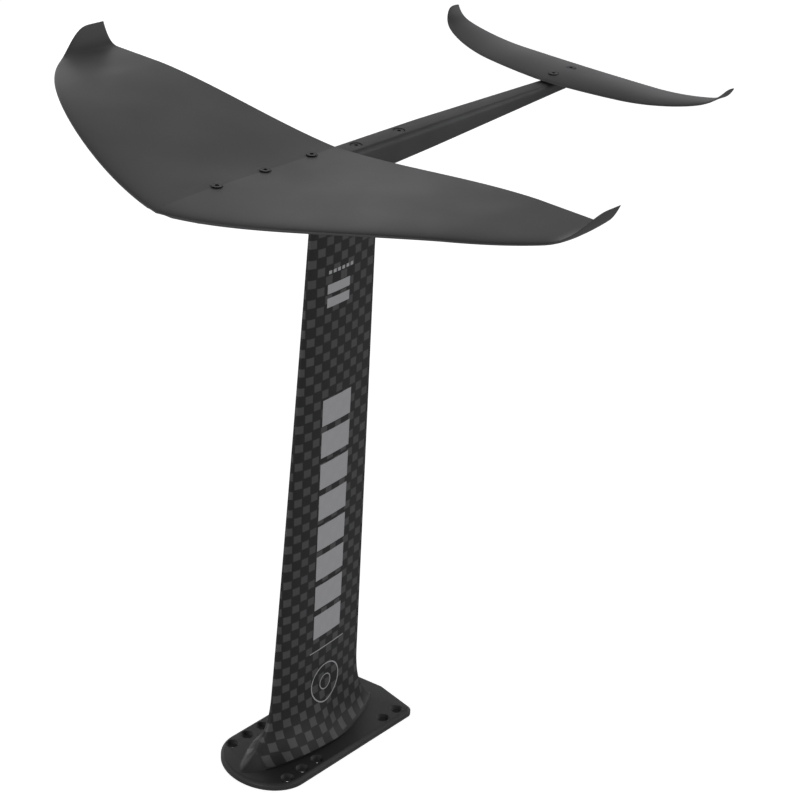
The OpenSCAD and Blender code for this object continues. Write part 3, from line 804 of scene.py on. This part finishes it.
def bar_ring(y, shrink=0.0):
    """Rounded section of the bar, its top cut to each wing's underside where one sits on it."""
    over = bar_over(y)
    seat = under_wing(wing_point, y, WING_NOSE, WING_TAIL, SEAT_HALF)
    if TAIL_SEAT_Y[0] < y < TAIL_SEAT_Y[1]:
        seat = under_wing(tail_point, y, TAIL_NOSE, TAIL_TAIL, TAIL_SEAT_HALF)
    top = over if seat is None else seat
    half = bar_half(y) - shrink
    soft = bar_half(y) / bar_high.x
    edge = TOP_EDGE_R * soft if seat is None else SEAT_EDGE_R
    low_edge = min(LOW_EDGE_R * soft, (top - bar_under(y)) / 2.2)  # as far as the depth allows
    bottom = bar_under(y) + shrink
    top -= shrink
    corners = [(half - edge, top - edge, edge, 0), (edge - half, top - edge, edge, 90),
               (low_edge - half, bottom + low_edge, low_edge, 180),
               (half - low_edge, bottom + low_edge, low_edge, 270)]
    ring = []
    for cx, cz, r, start in corners:
        for k in range(9):
            a = math.radians(start + 90 * k / 8)
            ring.append(Vector((cx + r * math.cos(a), y, cz + r * math.sin(a))))
    return ring


def make_bar():
    seat_from, seat_to = TAIL_SEAT_Y
    ys = [BAR_NOSE + (NOSE_FROM - BAR_NOSE) * (k / 16) ** 2 for k in range(17)]
    ys += [lerp(NOSE_FROM, WING_TAIL - STEP, k / 16) for k in range(1, 17)]
    ys += [WING_TAIL + STEP]
    ys += [lerp(WING_TAIL, seat_from - STEP, k / 40) for k in range(1, 41)]
    ys += [seat_from + STEP] + [lerp(seat_from, seat_to - STEP, k / 10) for k in range(1, 11)]
    ys += [seat_to + STEP, seat_to + 3, BAR_REAR - 2.5]
    rings = [bar_ring(y) for y in ys]
    rings += [bar_ring(BAR_REAR - 1, 0.6), bar_ring(BAR_REAR, 2.0)]  # rounds off the rear end
    bar = rings_solid("fuselage_bar", rings)
    cut(bar, screw_cutters("mast_screws", 0.9, 2.4))
    stand_for(bar, "fuselage", BAR_FINISH)


make_bar()

# ---- base plate ----


PLATE_NOSE_Y = -83  # where the straight sides meet the rounded nose
BOLT_ROWS, BOLT_X = (-95, -70, -45, 70, 95), 45
BOLT_HOLE = [(4.25, -5), (4.25, 5.45), (7.8, 9.0), (8.3, 9.5), (8.3, 14)]  # radius, height
PLATE_EDGE = [(0.5, 0), (0.15, 0.15), (0, 0.5), (0, 5.5), (0.1, 5.9), (0.3, 6.25), (2.6, 8.6),
              (3.0, 8.9), (3.6, 9.0)]  # inset, height


def plate_outline(inset, z):
    """Rounded nose, straight sides and a shallow V at the rear with rounded corners."""
    wide = plate_high.x - inset
    slope, corner = 0.147, 10.0
    slant = math.hypot(1, slope)
    nose_length = PLATE_NOSE_Y - plate_low.y - inset
    cx = plate_high.x - corner
    cy = plate_high.y - slope * cx - corner * slant
    points = []
    for k in range(21):
        a = (math.pi / 2 - math.atan(slope)) * k / 20
        points.append((cx + (corner - inset) * math.cos(a), cy + (corner - inset) * math.sin(a)))
    points += [(0.0, plate_high.y - inset * slant)] + [(-x, y) for x, y in reversed(points)]
    for k in range(61):
        a = math.radians(180 + 3 * k)
        points.append((wide * math.cos(a), PLATE_NOSE_Y + nose_length * math.sin(a)))
    return [Vector((x, y, z)) for x, y in points]


def make_plate():
    plate = rings_solid("plate", [plate_outline(i, z) for i, z in PLATE_EDGE], 30)
    tools = [turned("tool", BOLT_HOLE, x, y) for y in BOLT_ROWS for x in (-BOLT_X, BOLT_X)]
    cut(plate, tools, 30)
    stand_for(plate, "base_plate", PLATE_COAT)


make_plate()

# ---- CAD nodes that stay ----

for name, surface in (
    ("mast_screws", SCREW_STEEL), ("wing_screws", SCREW_STEEL), ("tail_screws", SCREW_STEEL),
    ("mast_foot", ALLOY), ("mast_foot_inserts", INSERT_STEEL),
    ("fuselage_wing_inserts", INSERT_STEEL), ("fuselage_tail_inserts", INSERT_STEEL),
    ("mast_nose_core", FOAM), ("mast_tail_core", FOAM), ("mast_spar", CARBON_TOW),
    ("front_wing_left_core", FOAM), ("front_wing_right_core", FOAM),
    ("front_wing_root_block", CARBON_TOW), ("tail_wing_left_core", FOAM),
    ("tail_wing_right_core", FOAM), ("tail_wing_root_block", CARBON_TOW),
):
    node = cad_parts[name]
    node.data.materials.clear()
    node.data.materials.append(surface)

# ---- stage, light and camera ----

FLOOR_GAP = 0.3  # keeps the floor just clear of the plate's underside


def make_floor():
    bm = bmesh.new()
    bmesh.ops.create_grid(bm, x_segments=1, y_segments=1, size=30000)
    bmesh.ops.translate(bm, vec=(0, 0, -FLOOR_GAP), verts=bm.verts)
    floor = finish_mesh(bm, "floor")
    s = Shader("floor", Roughness=0.9)
    s.bsdf.inputs["Specular IOR Level"].default_value = 0.0
    s.colour(grey(0.5))
    s.bsdf.inputs["Emission Color"].default_value = (1, 1, 1, 1)
    s.bsdf.inputs["Emission Strength"].default_value = 0.88
    floor.data.materials.append(s.material)
    floor.visible_diffuse = False
    floor.visible_glossy = False


def make_sky():
    """Soft studio surround: bright round the horizon, dim below and dark overhead."""
    world = bpy.data.worlds.new("studio")
    world.use_nodes = True
    bpy.context.scene.world = world
    tree = world.node_tree
    coord = tree.nodes.new("ShaderNodeTexCoord")
    split = tree.nodes.new("ShaderNodeSeparateXYZ")
    ramp = tree.nodes.new("ShaderNodeValToRGB")
    tree.links.new(coord.outputs["Generated"], split.inputs[0])
    half = tree.nodes.new("ShaderNodeMath")
    half.operation = "MULTIPLY_ADD"
    half.inputs[1].default_value = 0.5
    half.inputs[2].default_value = 0.5
    tree.links.new(split.outputs[2], half.inputs[0])
    tree.links.new(half.outputs[0], ramp.inputs[0])
    stops = [(0.0, 0.28), (0.48, 0.28), (0.52, 0.95), (0.62, 1.0), (0.69, 0.45), (0.80, 0.30),
             (0.87, 0.10), (1.0, 0.0)]
    for element, (at, value) in zip(ramp.color_ramp.elements, (stops[0], stops[-1])):
        element.position, element.color = at, grey(value)
    for at, value in stops[1:-1]:
        ramp.color_ramp.elements.new(at).color = grey(value)
    sky = tree.nodes["Background"]
    tree.links.new(ramp.outputs[0], sky.inputs[0])
    sky.inputs["Strength"].default_value = 1.0


def make_lamp(name, place, target, size, power):
    data = bpy.data.lights.new(name, "AREA")
    data.shape = "SQUARE"
    data.size = size
    data.energy = power
    lamp = bpy.data.objects.new(name, data)
    bpy.context.scene.collection.objects.link(lamp)
    lamp.location = place
    lamp.rotation_mode = "QUATERNION"
    lamp.rotation_quaternion = (Vector(target) - Vector(place)).to_track_quat("-Z", "Y")


CAMERA_PLACE = (1342.277, -1501.612, 1497.343)


def make_camera():
    """Camera to the right of the nose and above, a little rolled."""
    yaw, pitch, roll = math.radians(39.6312), math.radians(27.3957), math.radians(3.6287)
    level = math.cos(pitch)
    back = Vector((math.sin(yaw) * level, -math.cos(yaw) * level, math.sin(pitch)))
    right = Vector((math.cos(yaw), math.sin(yaw), 0))
    up = right.cross(-back)
    c, s = math.cos(roll), math.sin(roll)
    right, up = c * right + s * up, -s * right + c * up
    data = bpy.data.cameras.new("camera")
    data.lens = 93.02
    data.sensor_width = 36
    camera = bpy.data.objects.new("camera", data)
    bpy.context.scene.collection.objects.link(camera)
    turn = Matrix((right, up, back)).transposed().to_4x4()
    camera.matrix_world = Matrix.Translation(Vector(CAMERA_PLACE) * MM) @ turn
    bpy.context.scene.camera = camera


make_floor()
make_sky()
for name, place, power in (
    ("back", (0.6, 2.6, 1.9), 7.4), ("back_left", (-1.6, 1.2, 2.6), 3.8),
    ("low_left", (-2.6, 1.4, 0.6), 6.0), ("right", (2.8, 0.8, 1.0), 5.3),
    ("front", (0.6, -2.8, 0.6), 16.2), ("front_left", (-1.6, -2.2, 1.8), 2.1),
):
    make_lamp(name, place, (0, 0, 0.6), 1.6, power)
make_camera()
bpy.context.scene.view_settings.view_transform = "Standard"
